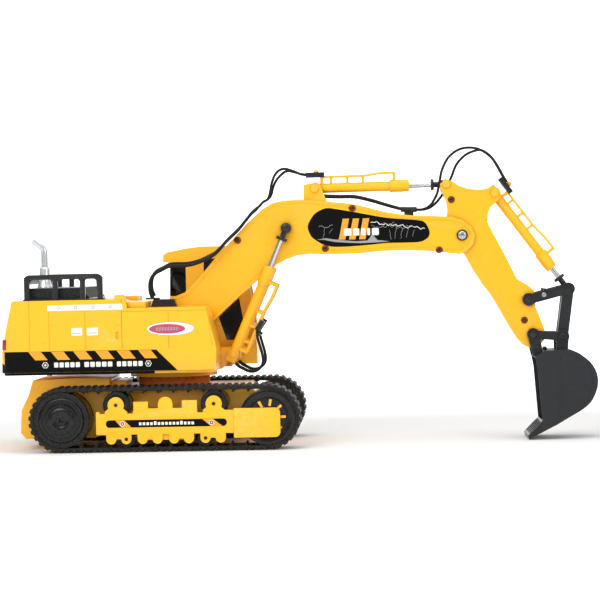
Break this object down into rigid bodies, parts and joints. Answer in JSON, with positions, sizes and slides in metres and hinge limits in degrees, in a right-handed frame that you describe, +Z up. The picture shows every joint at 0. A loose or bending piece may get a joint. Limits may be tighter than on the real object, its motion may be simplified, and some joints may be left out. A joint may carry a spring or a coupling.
{
  "type": "toy excavator",
  "caption": "Tracked toy excavator with slewing body, hinged boom, stick and bucket, dummy hydraulic cylinders, hoses, cab, handrail and exhaust stack.",
  "frame": {"origin": "bottom centre of the bounding box at rest, at ground level; the slew axis stands 155.7 mm behind it", "axes": "+X forward to the bucket, +Y to the cab side, +Z up"},
  "size_m": [0.6966, 0.2286, 0.3498],
  "materials": {
    "body_yellow": "semi-gloss moulded plastic",
    "cab_yellow": "semi-gloss moulded plastic",
    "cover_yellow": "semi-gloss moulded plastic",
    "chassis_amber": "satin moulded plastic",
    "boom_yellow": "semi-gloss moulded plastic",
    "stick_yellow": "semi-gloss moulded plastic",
    "barrel_yellow": "semi-gloss moulded plastic",
    "ring_amber": "satin moulded plastic",
    "motor_metal": "plated steel can and plastic gear case",
    "belt_rubber": "matt moulded rubber",
    "wheel_black": "gloss moulded plastic",
    "pin_steel": "turned steel",
    "screw_steel": "plated steel",
    "screw_copper": "copper-brown plated steel",
    "cover_black": "gloss moulded plastic",
    "railing_black": "satin moulded plastic",
    "exhaust_chrome": "vacuum-plated plastic",
    "window_dark": "dark glossy plastic",
    "board_green": "solder-masked board",
    "battery_wrap": "shrink wrap",
    "pinion_nylon": "nylon",
    "rod_chrome": "polished plated rod with black plastic end",
    "link_black": "satin moulded plastic",
    "bucket_grey": "satin moulded plastic",
    "hose_black": "satin vinyl tube"
  },
  "bodies": {
    "chassis": {"chassis_frame": "chassis_amber", "drive_gearbox": "chassis_amber", "drive_motors": "motor_metal", "track_cover_left": "cover_yellow", "track_cover_right": "cover_yellow", "idler_yoke_left": "cover_yellow", "idler_yoke_right": "cover_yellow", "track_belt_left": "belt_rubber", "track_belt_right": "belt_rubber", "track_axles": "pin_steel", "slew_ring_gear": "ring_amber", "chassis_screws": "screw_steel"},
    "turret": {"turret_base": "chassis_amber", "body_shell": "body_yellow", "engine_cover": "cover_black", "railing": "railing_black", "exhaust_stack": "exhaust_chrome", "cab_shell": "cab_yellow", "cab_windows": "window_dark", "hose_port": "cover_black", "circuit_board": "board_green", "battery_pack": "battery_wrap", "slew_motor": "motor_metal", "boom_motor": "motor_metal", "turret_pins": "pin_steel", "turret_screws": "screw_steel"},
    "slew_pinion": {"slew_pinion": "pinion_nylon"},
    "boom": {"boom_shell_left": "boom_yellow", "boom_shell_right": "boom_yellow", "stick_motor": "motor_metal", "boom_screws": "screw_copper", "boom_pins": "pin_steel", "boom_hoses": "hose_black", "stick_hoses": "hose_black"},
    "stick": {"stick_shell_left": "stick_yellow", "stick_shell_right": "stick_yellow", "stick_screws": "screw_copper", "stick_pins": "pin_steel", "bucket_motor": "motor_metal"},
    "bucket": {"bucket": "bucket_grey"},
    "rocker": {"rocker_link": "link_black"},
    "tie_link": {"tie_link": "link_black"},
    "boom_barrels": {"boom_cylinder_barrels": "barrel_yellow"},
    "boom_rods": {"boom_cylinder_rods": "rod_chrome"},
    "stick_barrel": {"stick_cylinder_barrel": "barrel_yellow"},
    "stick_rod": {"stick_cylinder_rod": "rod_chrome"},
    "bucket_barrel": {"bucket_cylinder_barrel": "barrel_yellow"},
    "bucket_rod": {"bucket_cylinder_rod": "rod_chrome"},
    "drive_sprocket_left": {"drive_sprocket_left": "wheel_black"},
    "idler_wheel_left": {"idler_wheel_left": "wheel_black"},
    "upper_rear_roller_left": {"upper_rear_roller_left": "wheel_black"},
    "upper_front_roller_left": {"upper_front_roller_left": "wheel_black"},
    "lower_rear_roller_left": {"lower_rear_roller_left": "wheel_black"},
    "lower_front_roller_left": {"lower_front_roller_left": "wheel_black"},
    "drive_sprocket_right": {"drive_sprocket_right": "wheel_black"},
    "idler_wheel_right": {"idler_wheel_right": "wheel_black"},
    "upper_rear_roller_right": {"upper_rear_roller_right": "wheel_black"},
    "upper_front_roller_right": {"upper_front_roller_right": "wheel_black"},
    "lower_rear_roller_right": {"lower_rear_roller_right": "wheel_black"},
    "lower_front_roller_right": {"lower_front_roller_right": "wheel_black"}
  },
  "joints": [
    {"name": "slew", "type": "hinge", "parent": "chassis", "child": "turret", "pos_m": [-0.1557, 0, 0.083], "axis": [0, 0, 1], "continuous": true},
    {"name": "drive_left", "type": "hinge", "parent": "chassis", "child": "drive_sprocket_left", "pos_m": [-0.2777, 0.088, 0.038], "axis": [0, 1, 0], "continuous": true},
    {"name": "idler_wheel_left_spin", "type": "hinge", "parent": "chassis", "child": "idler_wheel_left", "pos_m": [-0.0387, 0.088, 0.038], "axis": [0, 1, 0], "continuous": true},
    {"name": "upper_rear_roller_left_spin", "type": "hinge", "parent": "chassis", "child": "upper_rear_roller_left", "pos_m": [-0.2136, 0.088, 0.0548], "axis": [0, 1, 0], "continuous": true},
    {"name": "upper_front_roller_left_spin", "type": "hinge", "parent": "chassis", "child": "upper_front_roller_left", "pos_m": [-0.1005, 0.088, 0.0548], "axis": [0, 1, 0], "continuous": true},
    {"name": "lower_rear_roller_left_spin", "type": "hinge", "parent": "chassis", "child": "lower_rear_roller_left", "pos_m": [-0.2021, 0.088, 0.0154], "axis": [0, 1, 0], "continuous": true},
    {"name": "lower_front_roller_left_spin", "type": "hinge", "parent": "chassis", "child": "lower_front_roller_left", "pos_m": [-0.1106, 0.088, 0.0154], "axis": [0, 1, 0], "continuous": true},
    {"name": "drive_right", "type": "hinge", "parent": "chassis", "child": "drive_sprocket_right", "pos_m": [-0.2777, -0.088, 0.038], "axis": [0, 1, 0], "continuous": true},
    {"name": "idler_wheel_right_spin", "type": "hinge", "parent": "chassis", "child": "idler_wheel_right", "pos_m": [-0.0387, -0.088, 0.038], "axis": [0, 1, 0], "continuous": true},
    {"name": "upper_rear_roller_right_spin", "type": "hinge", "parent": "chassis", "child": "upper_rear_roller_right", "pos_m": [-0.2136, -0.088, 0.0548], "axis": [0, 1, 0], "continuous": true},
    {"name": "upper_front_roller_right_spin", "type": "hinge", "parent": "chassis", "child": "upper_front_roller_right", "pos_m": [-0.1005, -0.088, 0.0548], "axis": [0, 1, 0], "continuous": true},
    {"name": "lower_rear_roller_right_spin", "type": "hinge", "parent": "chassis", "child": "lower_rear_roller_right", "pos_m": [-0.2021, -0.088, 0.0154], "axis": [0, 1, 0], "continuous": true},
    {"name": "lower_front_roller_right_spin", "type": "hinge", "parent": "chassis", "child": "lower_front_roller_right", "pos_m": [-0.1106, -0.088, 0.0154], "axis": [0, 1, 0], "continuous": true},
    {"name": "slew_pinion_spin", "type": "hinge", "parent": "turret", "child": "slew_pinion", "pos_m": [-0.1827, 0, 0.08], "axis": [0, 0, 1], "continuous": true},
    {"name": "boom_lift", "type": "hinge", "parent": "turret", "child": "boom", "pos_m": [-0.1266, 0, 0.1466], "axis": [0, -1, 0], "range_deg": [-15, 20], "deforming": ["boom_hoses"]},
    {"name": "stick_swing", "type": "hinge", "parent": "boom", "child": "stick", "pos_m": [0.1922, 0, 0.2436], "axis": [0, -1, 0], "range_deg": [-25, 15], "deforming": ["stick_hoses"]},
    {"name": "bucket_curl", "type": "hinge", "parent": "stick", "child": "bucket", "pos_m": [0.2742, 0, 0.1244], "axis": [0, -1, 0], "range_deg": [-60, 18]},
    {"name": "boom_barrel_tilt", "type": "hinge", "parent": "turret", "child": "boom_barrels", "pos_m": [-0.0821, 0, 0.1073], "axis": [0, -1, 0], "range_deg": [-14, 18]},
    {"name": "boom_rod_slide", "type": "slide", "parent": "boom_barrels", "child": "boom_rods", "axis": [0.4029, 0, 0.9153], "range_m": [-0.015, 0.0198]},
    {"name": "stick_barrel_tilt", "type": "hinge", "parent": "boom", "child": "stick_barrel", "pos_m": [0.0176, 0, 0.3033], "axis": [0, -1, 0], "range_deg": [-1.2, 1.9]},
    {"name": "stick_rod_slide", "type": "slide", "parent": "stick_barrel", "child": "stick_rod", "axis": [0.9999, 0, 0.0108], "range_m": [-0.0164, 0.0271]},
    {"name": "bucket_barrel_tilt", "type": "hinge", "parent": "stick", "child": "bucket_barrel", "pos_m": [0.232, 0, 0.2932], "axis": [0, -1, 0], "range_deg": [-7.8, 2.5]},
    {"name": "bucket_rod_slide", "type": "slide", "parent": "bucket_barrel", "child": "bucket_rod", "axis": [0.5934, 0, -0.8049], "range_m": [-0.0091, 0.0298]},
    {"name": "rocker_swing", "type": "hinge", "parent": "stick", "child": "rocker", "pos_m": [0.2699, 0, 0.1657], "axis": [0, -1, 0], "range_deg": [-43, 13]},
    {"name": "tie_link_swing", "type": "hinge", "parent": "rocker", "child": "tie_link", "pos_m": [0.3173, 0, 0.1775], "axis": [0, -1, 0], "range_deg": [-8.5, 27]}
  ],
  "couplings": [
    {"joint": "idler_wheel_left_spin", "follows": "drive_left", "ratio": 1},
    {"joint": "upper_rear_roller_left_spin", "follows": "drive_left", "ratio": 2.0839},
    {"joint": "upper_front_roller_left_spin", "follows": "drive_left", "ratio": 2.0839},
    {"joint": "lower_rear_roller_left_spin", "follows": "drive_left", "ratio": 3.3646},
    {"joint": "lower_front_roller_left_spin", "follows": "drive_left", "ratio": 3.3646},
    {"joint": "idler_wheel_right_spin", "follows": "drive_right", "ratio": 1},
    {"joint": "upper_rear_roller_right_spin", "follows": "drive_right", "ratio": 2.0839},
    {"joint": "upper_front_roller_right_spin", "follows": "drive_right", "ratio": 2.0839},
    {"joint": "lower_rear_roller_right_spin", "follows": "drive_right", "ratio": 3.3646},
    {"joint": "lower_front_roller_right_spin", "follows": "drive_right", "ratio": 3.3646},
    {"joint": "slew_pinion_spin", "follows": "slew", "ratio": -4},
    {"joint": "boom_barrel_tilt", "follows": "boom_lift", "ratio": 0.8783},
    {"joint": "boom_rod_slide", "follows": "boom_lift", "m_per_rad": 0.055475},
    {"joint": "stick_barrel_tilt", "follows": "stick_swing", "ratio": -0.06703},
    {"joint": "stick_rod_slide", "follows": "stick_swing", "m_per_rad": -0.061018},
    {"joint": "bucket_barrel_tilt", "follows": "bucket_curl", "ratio": 0.12615},
    {"joint": "bucket_rod_slide", "follows": "bucket_curl", "m_per_rad": -0.028032},
    {"joint": "rocker_swing", "follows": "bucket_curl", "ratio": 0.7112},
    {"joint": "tie_link_swing", "follows": "bucket_curl", "ratio": -0.44345}
  ]
}
